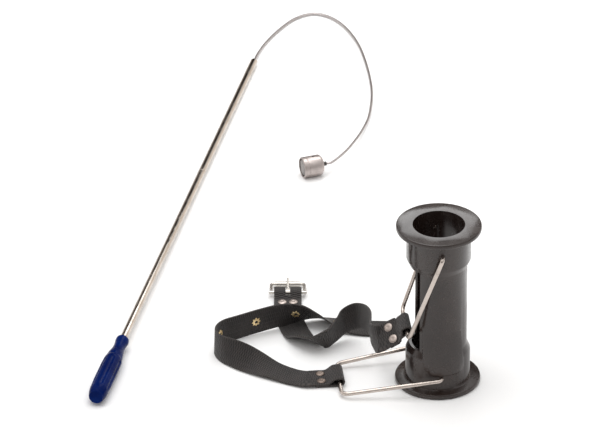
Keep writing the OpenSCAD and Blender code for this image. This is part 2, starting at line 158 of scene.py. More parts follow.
def makeWorld(setup):
    # a bright overhead cloth falling off to grey sides, with soft-edged cards for the metal
    world = bpy.data.worlds.new("softStudio")
    world.use_nodes = True
    bpy.context.scene.world = world
    tree = world.node_tree
    tree.nodes.clear()
    coord = addNode(tree, "ShaderNodeTexCoord").outputs["Generated"]
    split = addNode(tree, "ShaderNodeSeparateXYZ")
    tree.links.new(coord, split.inputs[0])
    rise = mapRange(tree, split.outputs["Z"], setup["topFrom"], setup["topFull"])
    top = tuple(c * setup["topStrength"] for c in setup["topColour"])
    sky = mixColour(tree, rise, setup["sideColour"], top)
    for towards, inner, outer, colour in setup["cards"]:
        along = addNode(tree, "ShaderNodeVectorMath", operation="DOT_PRODUCT")
        along.inputs[1].default_value = Vector(towards).normalized()
        tree.links.new(coord, along.inputs[0])
        low, high = math.cos(math.radians(outer)), math.cos(math.radians(inner))
        sky = mixColour(tree, mapRange(tree, along.outputs["Value"], low, high), sky, colour)
    back = addNode(tree, "ShaderNodeBackground")
    out = addNode(tree, "ShaderNodeOutputWorld")
    tree.links.new(sky, back.inputs["Color"])
    tree.links.new(back.outputs[0], out.inputs[0])


def makeLight(name, setup):
    data = bpy.data.lights.new(name, "AREA")
    data.energy = setup["power"]
    data.size = setup["size"]
    lamp = bpy.data.objects.new(name, data)
    lamp.location = setup["at"]
    aim = Vector(setup["aim"]) - Vector(setup["at"])
    lamp.rotation_euler = aim.to_track_quat("-Z", "Y").to_euler()
    bpy.context.scene.collection.objects.link(lamp)


def makeFloor(setup):
    bm = bmesh.new()
    bmesh.ops.create_grid(bm, x_segments=2, y_segments=2, size=setup["size"])
    mesh = bpy.data.meshes.new("paleFloor")
    bm.to_mesh(mesh)
    bm.free()
    floor = bpy.data.objects.new("paleFloor", mesh)
    floor.location.z = -setup["drop"]
    bpy.context.scene.collection.objects.link(floor)
    material = bpy.data.materials.new("paleFloor")
    material.use_nodes = True
    shader = material.node_tree.nodes["Principled BSDF"]
    shader.inputs["Base Color"].default_value = (*setup["colour"], 1)
    shader.inputs["Roughness"].default_value = setup["roughness"]
    shader.inputs["Specular IOR Level"].default_value = setup["gloss"]
    mesh.materials.append(material)


makeCamera(cameraSetup)
makeWorld(studio)
makeLight("softKey", keyLight)
makeLight("softBack", backLight)
makeFloor(floorSetup)
bpy.context.scene.view_settings.view_transform = "Standard"
print("stage: camera, lights and floor")


# shader node groups
wearPattern = {
    "cloud": (0.38, 0.68),  # noise levels where clouding starts and is full
    "scratch": (0.66, 0.74),
    "scratchTurn": (0.4, 0.7, 0.5),
    "scratchStretch": (1.0, 14.0, 1.0),
}
weavePattern = {
    "ribPitch": 0.0026,
    "cordPitch": 0.0053,
    "ribRoundness": 0.8,
    "cordDepth": 0.18,
    "selvedge": (0.44, 0.47),  # share of the width from the middle
    "fuzzScale": 900.0,
    "patchScale": 60.0,
    "fuzzHeight": 0.25,
}


def newGroup(name, inputs, outputs):
    group = bpy.data.node_groups.new(name, "ShaderNodeTree")
    for label, kind, value in inputs:
        socket = group.interface.new_socket(label, in_out="INPUT", socket_type=kind)
        if value is not None:
            socket.default_value = value
    for label in outputs:
        group.interface.new_socket(label, in_out="OUTPUT", socket_type="NodeSocketFloat")
    start = addNode(group, "NodeGroupInput")
    end = addNode(group, "NodeGroupOutput")
    return group, start.outputs, end.inputs


def makeSurfaceWear(pattern):
    # cloudy handling marks and fine hairline scratches, as masks from 0 to 1
    group, given, result = newGroup(
        "surfaceWear",
        [
            ("Vector", "NodeSocketVector", None),
            ("Cloud Scale", "NodeSocketFloat", 25.0),
            ("Scratch Scale", "NodeSocketFloat", 160.0),
        ],
        ["Cloud", "Scratch"],
    )
    cloud = noise(group, given["Vector"], given["Cloud Scale"], 5.0, 0.6)
    bent = addNode(group, "ShaderNodeMapping")
    bent.inputs["Rotation"].default_value = pattern["scratchTurn"]
    bent.inputs["Scale"].default_value = pattern["scratchStretch"]
    group.links.new(given["Vector"], bent.inputs["Vector"])
    lines = noise(group, bent.outputs["Vector"], given["Scratch Scale"], 2.0, 0.4)
    group.links.new(mapRange(group, cloud, *pattern["cloud"]), result["Cloud"])
    group.links.new(mapRange(group, lines, *pattern["scratch"]), result["Scratch"])
    return group


def makeWebbingWeave(pattern):
    # cross ribs, lengthwise cords and a firm selvedge; the UV map is in metres
    group, given, result = newGroup(
        "webbingWeave",
        [
            ("UV", "NodeSocketVector", None),
            ("Width", "NodeSocketFloat", 0.032),
            ("Rib Pitch", "NodeSocketFloat", pattern["ribPitch"]),
            ("Cord Pitch", "NodeSocketFloat", pattern["cordPitch"]),
        ],
        ["Height", "Tone", "Edge"],
    )
    split = addNode(group, "ShaderNodeSeparateXYZ")
    group.links.new(given["UV"], split.inputs[0])
    across, along = split.outputs["X"], split.outputs["Y"]
    cords = mathNode(group, "DIVIDE", across, given["Cord Pitch"])
    halfStep = times(group, mathNode(group, "FLOOR", cords), 0.5)
    ribs = plus(group, mathNode(group, "DIVIDE", along, given["Rib Pitch"]), halfStep)
    rib = mathNode(group, "POWER", ripple(group, ribs), pattern["ribRoundness"])
    cord = times(group, ripple(group, cords), pattern["cordDepth"])
    height = times(group, rib, plus(group, cord, 1 - pattern["cordDepth"]))
    middle = mathNode(group, "SUBTRACT", across, times(group, given["Width"], 0.5))
    share = mathNode(group, "DIVIDE", mathNode(group, "ABSOLUTE", middle), given["Width"])
    fuzz = noise(group, given["UV"], pattern["fuzzScale"], 3.0, 0.7)
    patches = noise(group, given["UV"], pattern["patchScale"], 3.0, 0.6)
    tone = plus(group, times(group, fuzz, 0.5), times(group, patches, 0.5))
    height = plus(group, height, times(group, fuzz, pattern["fuzzHeight"]))
    group.links.new(height, result["Height"])
    group.links.new(tone, result["Tone"])
    group.links.new(mapRange(group, share, *pattern["selvedge"]), result["Edge"])
    return group


surfaceWear = makeSurfaceWear(wearPattern)
webbingWeave = makeWebbingWeave(weavePattern)


# materials
def startMaterial(name, base, roughness, metallic=0.0):
    material = bpy.data.materials.new(name)
    material.use_nodes = True
    tree = material.node_tree
    shader = tree.nodes["Principled BSDF"]
    shader.inputs["Base Color"].default_value = (*base, 1)
    shader.inputs["Roughness"].default_value = roughness
    shader.inputs["Metallic"].default_value = metallic
    return material, tree, shader


def placedCoords(tree, centre=(0, 0, 0), axis=(0, 0, 1)):
    # object coordinates with their Z along a piece's own axis
    coord = addNode(tree, "ShaderNodeTexCoord")
    place = addNode(tree, "ShaderNodeMapping", vector_type="TEXTURE")
    place.inputs["Location"].default_value = centre
    place.inputs["Rotation"].default_value = Vector(axis).to_track_quat("Z", "Y").to_euler()
    tree.links.new(coord.outputs["Object"], place.inputs["Vector"])
    return place.outputs["Vector"]


def setColour(tree, shader, factor, a, b):
    tree.links.new(mixColour(tree, factor, a, b), shader.inputs["Base Color"])


def setBump(tree, shader, height, strength, distance):
    bump = addNode(tree, "ShaderNodeBump")
    bump.inputs["Strength"].default_value = strength
    bump.inputs["Distance"].default_value = distance
    tree.links.new(height, bump.inputs["Height"])
    tree.links.new(bump.outputs["Normal"], shader.inputs["Normal"])


def useWear(tree, vector, cloudScale, scratchScale):
    wear = addNode(tree, "ShaderNodeGroup")
    wear.node_tree = surfaceWear
    tree.links.new(vector, wear.inputs["Vector"])
    wear.inputs["Cloud Scale"].default_value = cloudScale
    wear.inputs["Scratch Scale"].default_value = scratchScale
    return wear.outputs["Cloud"], wear.outputs["Scratch"]


def wornRoughness(tree, shader, cloud, smooth, dull, extra, extraShare):
    # clouding dulls the surface from smooth to dull, and another mark adds its share
    rough = plus(tree, times(tree, cloud, dull - smooth), smooth)
    rough = plus(tree, rough, times(tree, extra, extraShare))
    tree.links.new(rough, shader.inputs["Roughness"])


gagFinish = {
    "base": (0.0195, 0.0125, 0.0105),
    "worn": (0.048, 0.0335, 0.0285),
    "smooth": 0.17,
    "dull": 0.33,
    "cloudScale": 22.0,
    "cloudTint": 0.55,
    "scratchScale": 130.0,
    "scratchTint": 0.7,
    "scratchDull": 0.15,
    "flowScale": 38.0,
    "pebbleScale": 900.0,
    "pebbleShare": 0.02,
    "strength": 0.5,
    "relief": 0.0006,
    "gloss": 0.48,
    "coat": 0.15,
    "coatRoughness": 0.12,
}
platingMarks = {
    "scratchScale": 260.0,
    "cloudTint": 0.45,
    "lineTint": 0.35,
    "lineStretch": 60,
    "drawnScale": 30.0,
    "turnedScale": 45.0,
    "lineDull": 0.08,
    "turnedDull": 0.1,
    "lineHeight": 0.4,
    "scratchHeight": -0.3,
    "strength": 0.35,
    "relief": 0.00006,
}
webbingFinish = {
    "thread": (0.0165, 0.0135, 0.013),
    "faded": (0.048, 0.039, 0.036),
    # near-black colour painted as shade in the valleys between the ribs
    "ribValleyShade": (0.003, 0.0025, 0.0025),
    "roughness": 0.72,
    "ribShadeBelow": 0.3,
    "fading": (0.35, 0.65),
    "edgeFading": 0.45,
    "dullness": (0.3, 0.7, 0.62, 0.82),
    "strength": 0.9,
    "relief": 0.0009,
    "sheen": 0.15,
    "sheenRoughness": 0.4,
}
handleFinish = {
    "base": (0.0009, 0.0075, 0.07),
    "light": (0.003, 0.02, 0.14),
    "smooth": 0.2,
    "dull": 0.34,
    "cloudScale": 60.0,
    "scratchScale": 240.0,
    "scratchDull": 0.2,
    "swirlScale": 26.0,
    "swirl": (0.35, 0.7),
    "swirlTint": 0.7,
    "grainScale": 150.0,
    "strength": 0.25,
    "relief": 0.0001,
    "gloss": 0.03,
}
# near-black ring in the gap round the magnet: its colour is painted shade of that gap
gapShadeFinish = {
    "base": (0.012, 0.012, 0.012),
    "worn": (0.04, 0.038, 0.036),
    "smooth": 0.55,
    "dull": 0.7,
    "cloudScale": 120.0,
    "scratchScale": 500.0,
    "grainScale": 700.0,
    "strength": 0.4,
    "relief": 0.0001,
}


def gagPlastic(finish):
    material, tree, shader = startMaterial("gagPlastic", finish["base"], finish["smooth"])
    place = placedCoords(tree)
    cloud, scratch = useWear(tree, place, finish["cloudScale"], finish["scratchScale"])
    clouding = times(tree, cloud, finish["cloudTint"])
    tone = mathNode(tree, "MAXIMUM", clouding, times(tree, scratch, finish["scratchTint"]))
    setColour(tree, shader, tone, finish["base"], finish["worn"])
    wornRoughness(
        tree, shader, cloud, finish["smooth"], finish["dull"], scratch, finish["scratchDull"]
    )
    flow = noise(tree, place, finish["flowScale"], 2.0)
    pebble = noise(tree, place, finish["pebbleScale"], 2.0)
    height = plus(tree, flow, times(tree, pebble, finish["pebbleShare"]))
    setBump(tree, shader, height, finish["strength"], finish["relief"])
    shader.inputs["Specular IOR Level"].default_value = finish["gloss"]
    shader.inputs["Coat Weight"].default_value = finish["coat"]
    shader.inputs["Coat Roughness"].default_value = finish["coatRoughness"]
    return material


def platedMetal(name, finishes, axis=(0, 0, 1), centre=(0, 0, 0), turned=0.0, cloudScale=40.0):
    # plating with clouding, drawn or turned lines along its axis, and hairlines
    base, worn, smooth, dull = finishes[name]
    marks = platingMarks
    material, tree, shader = startMaterial(name, base, smooth, 1.0)
    place = placedCoords(tree, centre, axis)
    stretch = marks["lineStretch"]
    lines = addNode(tree, "ShaderNodeMapping")
    lines.inputs["Scale"].default_value = (1, 1, stretch) if turned else (stretch, stretch, 1)
    tree.links.new(place, lines.inputs["Vector"])
    cloud, scratch = useWear(tree, place, cloudScale, marks["scratchScale"])
    lineScale = marks["turnedScale"] if turned else marks["drawnScale"]
    drawn = noise(tree, lines.outputs["Vector"], lineScale, 4.0, 0.65)
    tone = plus(tree, times(tree, cloud, marks["cloudTint"]), times(tree, drawn, marks["lineTint"]))
    setColour(tree, shader, tone, base, worn)
    lineDull = marks["lineDull"] + turned * marks["turnedDull"]
    wornRoughness(tree, shader, cloud, smooth, dull, drawn, lineDull)
    ridges = times(tree, drawn, marks["lineHeight"] + turned)
    height = plus(tree, ridges, times(tree, scratch, marks["scratchHeight"]))
    setBump(tree, shader, height, marks["strength"], marks["relief"])
    return material


def webbingCloth(finish):
    material, tree, shader = startMaterial("webbingCloth", finish["thread"], finish["roughness"])
    coord = addNode(tree, "ShaderNodeTexCoord")
    weave = addNode(tree, "ShaderNodeGroup")
    weave.node_tree = webbingWeave
    tree.links.new(coord.outputs["UV"], weave.inputs["UV"])
    height, tone, edge = (weave.outputs[label] for label in ("Height", "Tone", "Edge"))
    fading = mapRange(tree, tone, *finish["fading"])
    thread = mixColour(tree, fading, finish["thread"], finish["faded"])
    # painted shade: the low parts of the weave, between the ribs, are mixed towards a near-black
    # colour
    high = mapRange(tree, height, finish["ribShadeBelow"], 1.0)
    cloth = mixColour(tree, high, finish["ribValleyShade"], thread)
    setColour(tree, shader, times(tree, edge, finish["edgeFading"]), cloth, finish["faded"])
    tree.links.new(mapRange(tree, tone, *finish["dullness"]), shader.inputs["Roughness"])
    setBump(tree, shader, height, finish["strength"], finish["relief"])
    shader.inputs["Sheen Weight"].default_value = finish["sheen"]
    shader.inputs["Sheen Roughness"].default_value = finish["sheenRoughness"]
    return material


def handlePlastic(finish, axis, centre):
    material, tree, shader = startMaterial("handlePlastic", finish["base"], finish["smooth"])
    place = placedCoords(tree, centre, axis)
    cloud, scratch = useWear(tree, place, finish["cloudScale"], finish["scratchScale"])
    swirl = mapRange(tree, noise(tree, place, finish["swirlScale"], 3.0, 0.55), *finish["swirl"])
    tint = times(tree, swirl, finish["swirlTint"])
    setColour(tree, shader, tint, finish["base"], finish["light"])
    wornRoughness(
        tree, shader, cloud, finish["smooth"], finish["dull"], scratch, finish["scratchDull"]
    )
    grain = noise(tree, place, finish["grainScale"])
    setBump(tree, shader, grain, finish["strength"], finish["relief"])
    shader.inputs["Specular IOR Level"].default_value = finish["gloss"]
    return material


# the ring's near-black colour is painted shade of the gap round the magnet; the clouding and grain
# are its own
def blackGapShade(finish):
    material, tree, shader = startMaterial("blackGapShade", finish["base"], finish["smooth"])
    place = placedCoords(tree)
    cloud, _ = useWear(tree, place, finish["cloudScale"], finish["scratchScale"])
    setColour(tree, shader, cloud, finish["base"], finish["worn"])
    rough = mapRange(tree, cloud, 0.0, 1.0, finish["smooth"], finish["dull"])
    tree.links.new(rough, shader.inputs["Roughness"])
    grain = noise(tree, place, finish["grainScale"])
    setBump(tree, shader, grain, finish["strength"], finish["relief"])
    return material


# mesh helpers
copyFinish = {"weld": 0.000002, "flatWithin": 0.05, "segments": 2}


def linkMesh(name, bm, material, smooth=40.0):
    mesh = bpy.data.meshes.new(name)
    bm.to_mesh(mesh)
    bm.free()
    mesh.materials.append(material)
    piece = bpy.data.objects.new(name, mesh)
    bpy.context.scene.collection.objects.link(piece)
    mesh.shade_smooth()
    if smooth:
        mesh.set_sharp_from_angle(angle=math.radians(smooth))
    return piece


def standFor(piece, node, body=None):
    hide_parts(node)
    if body:
        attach(piece, body)


def finishedCopy(node, name, material, body, slot, softEdge, smooth=35.0):
    # a merged copy of a CAD part with softened edges, shown in its place
    bm = bmesh.new()
    bm.from_mesh(nodes[node].data)
    bmesh.ops.remove_doubles(bm, verts=bm.verts, dist=copyFinish["weld"])
    flat = math.radians(copyFinish["flatWithin"])
    bmesh.ops.dissolve_limit(bm, angle_limit=flat, verts=bm.verts, edges=bm.edges)
    piece = linkMesh(name, bm, material, smooth)
    rounding = piece.modifiers.new("softEdge", "BEVEL")
    rounding.width = softEdge
    rounding.segments = copyFinish["segments"]
    rounding.limit_method = "ANGLE"
    rounding.angle_limit = math.radians(smooth)
    rounding.harden_normals = True
    standFor(piece, node, body)
    return piece


def splinePoint(a, b, c, d, t):
    bend = (2 * a - 5 * b + 4 * c - d) * t * t
    return 0.5 * (2 * b + (c - a) * t + bend + (3 * b - a - 3 * c + d) * t * t * t)


def smoothLine(points, steps):
    last = len(points) - 1
    line = []
    for i in range(last):
        four = [points[max(i - 1, 0)], points[i], points[i + 1], points[min(i + 2, last)]]
        line += [splinePoint(*four, k / steps) for k in range(steps)]
    return line + [points[-1]]


def runLengths(line):
    total, out = 0.0, [0.0]
    for a, b in zip(line, line[1:]):
        total += (b - a).length
        out.append(total)
    return out


def direction(line, i):
    return (line[min(i + 1, len(line) - 1)] - line[max(i - 1, 0)]).normalized()


# rod line, shared by the retriever's pieces
rodLine = {
    "foot": (-391, -61.5),
    "heading": 77.4,
    "length": 812,
    "handleLength": 132,
    "handleWidth": 22,
    "rodWidth": 9,
    "restShare": 0.64,  # how far up its length the handle touches the floor
    "tipRise": 0.4,
}


def rodFrame(setup):
    rest = setup["restShare"] * setup["handleLength"]
    fall = (setup["handleWidth"] - setup["rodWidth"] - setup["tipRise"]) / 2
    drop = math.atan(fall / (setup["length"] - rest))
    high = setup["handleWidth"] / 2 / math.cos(drop) + rest * math.tan(drop)
    turn = math.radians(setup["heading"])
    level = math.cos(drop)
    axis = Vector((level * math.cos(turn), level * math.sin(turn), -math.sin(drop)))
    return Vector((*setup["foot"], high)) * mm, axis


rodFoot, rodAxis = rodFrame(rodLine)
rodTip = rodFoot + rodAxis * rodLine["length"] * mm


# wire rope
wireRope = {
    "width": 3.0,
    "strands": 6,
    "lay": 17.0,
    "groove": 0.16,
    "grooveShape": 0.6,
    "ringGap": 1.1,
    "around": 24,
    "steps": 24,
    "insideRod": 12,
    "straightOut": 10,
    "intoHead": (12, 6, 1),
    "route": [
        (-208, 757, 3.2), (-199, 783, 2.4), (-185, 812, 2), (-169, 837, 2), (-155, 850, 2),
        (-142, 855, 2), (-129, 852, 2), (-114, 839, 2), (-100, 816, 2), (-87, 780, 2),
        (-79, 741, 2), (-73, 695, 2), (-71, 650, 2.4), (-75, 597, 4), (-84, 557, 6.5),
        (-93, 528, 9), (-102, 504, 11), (-111, 486, 12.2),
    ],
}
ropeFinish = {
    "base": (0.4, 0.38, 0.37),
    "roughness": 0.36,
    # colour of the painted shade in the grooves between strands
    "groove": (0.12, 0.11, 0.108),
    "bright": (0.66, 0.61, 0.6),
    "worn": (0.42, 0.38, 0.37),
    "wiresAround": 18.0,
    "wiresAlong": 900.0,
    "wireShade": 0.35,
    "grooveShadeTo": 0.55,
    "wearScale": 40.0,
    "wear": (0.35, 0.7),
    "wearTint": 0.35,
    "smooth": 0.24,
    "dull": 0.42,
    "strength": 0.6,
    "relief": 0.0001,
}
magnetHead = {"back": (-131.7, 468.2, 12.5), "heading": 19.4}
magnetBack = Vector(magnetHead["back"]) * mm
magnetTurn = math.radians(magnetHead["heading"])
magnetAxis = Vector((math.cos(magnetTurn), math.sin(magnetTurn), 0))


def ropeRings(setup):
    # evenly spaced ring centres from inside the rod to inside the magnet head
    inside, out = setup["insideRod"] * mm, setup["straightOut"] * mm
    points = [rodTip - rodAxis * inside, rodTip, rodTip + rodAxis * out]
    points += [Vector(p) * mm for p in setup["route"]]
    points += [magnetBack + magnetAxis * (depth * mm) for depth in setup["intoHead"]]
    fine = smoothLine(points, setup["steps"])
    lengths = runLengths(fine)
    count = int(lengths[-1] / (setup["ringGap"] * mm))
    rings, at = [], 0
    for k in range(count + 1):
        want = lengths[-1] * k / count
        while at < len(fine) - 2 and lengths[at + 1] < want:
            at += 1
        share = (want - lengths[at]) / max(lengths[at + 1] - lengths[at], 1e-9)
        rings.append(fine[at].lerp(fine[at + 1], share))
    return rings, lengths[-1]


def makeRope(setup, material):
    rings, length = ropeRings(setup)
    count, around = len(rings) - 1, setup["around"]
    radius, wholeTurn = setup["width"] * mm / 2, 2 * math.pi
    bm = bmesh.new()
    uvLayer = bm.loops.layers.uv.new("UVMap")
    bmesh.ops.create_grid(bm, x_segments=around, y_segments=count, size=0.5, calc_uvs=False)
    places = {}
    for vert in bm.verts:
        across, row = vert.co.x + 0.5, round((vert.co.y + 0.5) * count)
        along = row / count * length
        places[vert] = (across, along)
        tangent = direction(rings, row)
        side = tangent.cross(Vector((0, 0, 1))).normalized()
        up = side.cross(tangent)
        turn = wholeTurn * across
        twist = setup["strands"] / 2 * (turn - wholeTurn * along / (setup["lay"] * mm))
        ridge = setup["groove"] * abs(math.cos(twist)) ** setup["grooveShape"]
        reach = radius * (1 - setup["groove"] + ridge)
        vert.co = rings[row] + (side * math.cos(turn) + up * math.sin(turn)) * reach
    for face in bm.faces:
        for loop in face.loops:
            loop[uvLayer].uv = places[loop.vert]
    bmesh.ops.remove_doubles(bm, verts=bm.verts, dist=copyFinish["weld"])
    ends = [e for e in bm.edges if e.is_boundary]
    bmesh.ops.holes_fill(bm, edges=ends, sides=around + 2)
    bmesh.ops.recalc_face_normals(bm, faces=bm.faces)
    rope = linkMesh("wireRope", bm, material, 60.0)
    standFor(rope, "cable", "rod_3")
    return rope, rings, length


def ropeSteel(finish, setup):
    # bright wires wound across the strands, with painted shade dark in the grooves and along the
    # lines between wires
    base, roughness = finish["base"], finish["roughness"]
    material, tree, shader = startMaterial("ropeSteel", base, roughness, 1.0)
    coord = addNode(tree, "ShaderNodeTexCoord").outputs["UV"]
    split = addNode(tree, "ShaderNodeSeparateXYZ")
    tree.links.new(coord, split.inputs[0])
    around, along = split.outputs["X"], split.outputs["Y"]
    winding = times(tree, around, finish["wiresAround"])
    wires = ripple(tree, plus(tree, winding, times(tree, along, finish["wiresAlong"])))
    turns = mathNode(tree, "DIVIDE", along, setup["lay"] * mm)
    strands = times(tree, mathNode(tree, "SUBTRACT", around, turns), setup["strands"])
    # painted shade: dark in the grooves between strands, and by the wire shade share between the
    # wires
    depth = mapRange(tree, ripple(tree, strands, "COSINE"), 0.0, finish["grooveShadeTo"])
    wear = mapRange(tree, noise(tree, coord, finish["wearScale"]), *finish["wear"])
    shade = plus(tree, times(tree, wires, finish["wireShade"]), 1 - finish["wireShade"])
    steelWithGrooveShade = mixColour(tree, times(tree, depth, shade), finish["groove"], finish["bright"])
    setColour(tree, shader, times(tree, wear, finish["wearTint"]), steelWithGrooveShade, finish["worn"])
    rough = mapRange(tree, wear, 0.0, 1.0, finish["smooth"], finish["dull"])
    tree.links.new(rough, shader.inputs["Roughness"])
    setBump(tree, shader, wires, finish["strength"], finish["relief"])
    return material


rope, ropeLine, ropeLength = makeRope(wireRope, ropeSteel(ropeFinish, wireRope))
print("stage: wire rope,", round(ropeLength, 3), "m")


# retriever pieces
retrieverMetals = {
    # colour, worn colour, roughness where smooth and where dull
    "rodChrome": ((0.64, 0.585, 0.53), (0.42, 0.36, 0.3), 0.1, 0.24),
    "turnedSteel": ((0.5, 0.48, 0.46), (0.34, 0.33, 0.31), 0.28, 0.4),
    "magnetSteel": ((0.54, 0.48, 0.457), (0.37, 0.33, 0.315), 0.3, 0.44),
    "magnetFace": ((0.3, 0.28, 0.27), (0.15, 0.14, 0.135), 0.38, 0.55),
    "darkSteel": ((0.05, 0.048, 0.046), (0.16, 0.15, 0.14), 0.35, 0.5),
}
chrome = platedMetal("rodChrome", retrieverMetals, rodAxis, rodFoot)
turned = platedMetal("turnedSteel", retrieverMetals, rodAxis, rodFoot, 0.6)
housing = platedMetal("magnetSteel", retrieverMetals, magnetAxis, magnetBack, 1.0, 70.0)
magnet = platedMetal("magnetFace", retrieverMetals, magnetAxis, magnetBack, 0.3, 110.0)
darkSteel = platedMetal("darkSteel", retrieverMetals, magnetAxis, magnetBack)
handleBlue = handlePlastic(handleFinish, rodAxis, rodFoot)
gapShade = blackGapShade(gapShadeFinish)

retrieverPieces = (
    # CAD part, piece, material, body, slot, softened edge in metres, and the angle it starts at
    ("handle", "gripHandle", handleBlue, "retriever", "handle_plastic", 0.0005, 28.0),
    ("rod_section_1", "rodSectionOne", chrome, "retriever", "rod_chrome", 0.00045),
    ("spigot_1", "spigotOne", turned, "retriever", "turned_steel", 0.0003),
    ("socket_1", "socketOne", turned, "rod_2", "turned_steel", 0.0002),
    ("rod_section_2", "rodSectionTwo", chrome, "rod_2", "rod_chrome", 0.00045),
    ("spigot_2", "spigotTwo", turned, "rod_2", "turned_steel", 0.0003),
    ("socket_2", "socketTwo", turned, "rod_3", "turned_steel", 0.0002),
    ("rod_section_3", "rodSectionThree", chrome, "rod_3", "rod_chrome", 0.00045),
    ("tip_bush", "tipBush", turned, "rod_3", "turned_steel", 0.0002),
)
headPieces = (
    ("crimp_sleeve", "crimpSleeve", darkSteel, "rod_3", "dark_steel", 0.0003),
    ("magnet_housing", "magnetHousing", housing, "rod_3", "magnet_steel", 0.0003),
    # the ring in the magnet's gap is coloured near black as painted shade
    ("magnet_ring", "magnetRing", gapShade, "rod_3", "potting", 0.0002),
    ("magnet_core", "magnetCore", magnet, "rod_3", "magnet_face", 0.0004),
    ("set_screw", "setScrew", darkSteel, "rod_3", "dark_steel", 0.0001),
)
for row in retrieverPieces:
    finishedCopy(*row)
[finishedCopy(*row) for row in headPieces]
print("stage: retriever")


# gag body and bails
gag = {"height": 205, "turn": 6, "holeHeight": 22, "collarWidth": 74, "boreWidth": 60}
bails = {
    "wire": 5.0,
    "reach": 115,
    "barHalf": 34,
    "hang": 71,
    "bend": (4.4, 9, 9, 4.4),
    "steps": 9,
    "stand": 3.5,  # room between the collar and the wire
    "endIn": 0.4,  # how far the ends stop short of the bore
    "around": 6,
    "weld": 0.00001,
    "endRound": 0.0009,
    "endSteps": 4,
    "endAngle": 60,
}
bailMetals = {"bailNickel": ((0.6, 0.535, 0.49), (0.42, 0.36, 0.32), 0.16, 0.32)}
webbing = {
    "width": 32,
    "thick": 1.8,
    "clear": 0.3,  # between the cloth and the bar it goes round
    "lap": 0.15,  # between the two layers of a loop
    "offBar": 8,  # the lower loop sits this far from the middle of its bar
    "floorGap": 0.1,
    "capUnder": 1,  # rivet cap under the lower loop
    "fall": 30,  # slope of the upper loop, and its turn about its own run
    "lapTurn": 30,
    "turnFrom": 5,
    "turnOver": 9,
    "lie": 0.3,  # between a strap's edge and the floor
    "longRun": (32, 27, 22, 14),  # stations out from the bar, on the long strand and the short end
    "shortRun": (0, 5, 9, 14, 20, 27),
    "rise": ((9, 1.2), (5, 4.2)),  # the long strand's climb onto the bar: distance out, height
    "foldLeast": 4.4,
    "foldRoom": 0.9,
    "foldBack": 1,
    "foldTurns": (75, 45, 15, -15, -45, -75),
    "heel": (-172, 182),  # middle of the buckle's heel bar
    "slot": (3.2, -9, 10),  # half width, and from where to where along the strap
    "steps": 6,
    "columns": 12,
    "rim": 0.00045,
}
lowHeight = -(bails["wire"] / 2 + webbing["thick"] / 2 + webbing["clear"])
barHeight = webbing["floorGap"] + webbing["capUnder"] + webbing["thick"] / 2 - lowHeight
lowerSlope = math.degrees(math.asin((gag["holeHeight"] - barHeight) / bails["reach"]))
topPivot = gag["height"] - gag["holeHeight"]
nickel = platedMetal("bailNickel", bailMetals, (-1, -0.1, 0))


def fromGag(x, y, z):
    turn = math.radians(gag["turn"])
    sideways = x * math.sin(turn) + y * math.cos(turn)
    return Vector((x * math.cos(turn) - y * math.sin(turn), sideways, z)) * mm


def bentPoints(corners, radii, steps):
    line = [corners[0]]
    for before, corner, after, radius in zip(corners, corners[1:], corners[2:], radii):
        u, v = (corner - before).normalized(), (after - corner).normalized()
        turn = u.angle_signed(v) * -1
        centre = corner + (v - u).normalized() * radius / math.cos(turn / 2)
        first = corner - u * radius * abs(math.tan(turn / 2)) - centre
        for k in range(steps):
            line.append(centre + Matrix.Rotation(turn * k / (steps - 1), 2) @ first)
    return line + [corners[-1]]


def bailLine(slope, pivotHeight):
    foot = gag["collarWidth"] / 2 + bails["wire"] / 2 + bails["stand"]
    inner = gag["boreWidth"] / 2 + bails["endIn"]
    reach, half = bails["reach"], bails["barHalf"]
    corners = ((0, inner), (0, foot), (-reach, half), (-reach, -half), (0, -foot), (0, -inner))
    tilt = math.radians(slope)
    line = []
    for p in bentPoints([Vector(c) for c in corners], bails["bend"], bails["steps"]):
        line.append(fromGag(p.x * math.cos(tilt), p.y, pivotHeight + p.x * math.sin(tilt)))
    return line


def makeBail(name, slope, pivotHeight, body, node):
    line = bailLine(slope, pivotHeight)
    curve = bpy.data.curves.new(name, "CURVE")
    curve.dimensions = "3D"
    curve.bevel_depth = bails["wire"] * mm / 2
    curve.bevel_resolution = bails["around"]
    curve.use_fill_caps = True
    spline = curve.splines.new("POLY")
    spline.points.add(len(line) - 1)
    for point, place in zip(spline.points, line):
        point.co = (*place, 1)
    holder = bpy.data.objects.new(name + "Line", curve)
    mesh = bpy.data.meshes.new_from_object(holder)
    bpy.data.objects.remove(holder)
    bm = bmesh.new()
    bm.from_mesh(mesh)
    bpy.data.meshes.remove(mesh)
    bmesh.ops.remove_doubles(bm, verts=bm.verts, dist=bails["weld"])
    bmesh.ops.recalc_face_normals(bm, faces=bm.faces)
    sharp = math.radians(bails["endAngle"])
    rims = [e for e in bm.edges if e.is_manifold and e.calc_face_angle(0) > sharp]
    bmesh.ops.bevel(
        bm, geom=rims, offset=bails["endRound"], segments=bails["endSteps"], profile=0.5,
        affect="EDGES", material=-1,
    )
    standFor(linkMesh(name, bm, nickel, 50.0), node, body)


finishedCopy("gag_body", "gagBody", gagPlastic(gagFinish), "gag", "gag_plastic", 0.001, 30.0)
makeBail("lowerBail", lowerSlope, gag["holeHeight"], "lower_bail", "lower_bail")
makeBail("upperBail", bails["hang"], topPivot, "upper_bail", "upper_bail")
print("stage: gag body and bails")


# head straps
clothRadius = bails["wire"] / 2 + webbing["thick"] / 2
foldRadius = max(webbing["foldLeast"], clothRadius + webbing["foldRoom"])


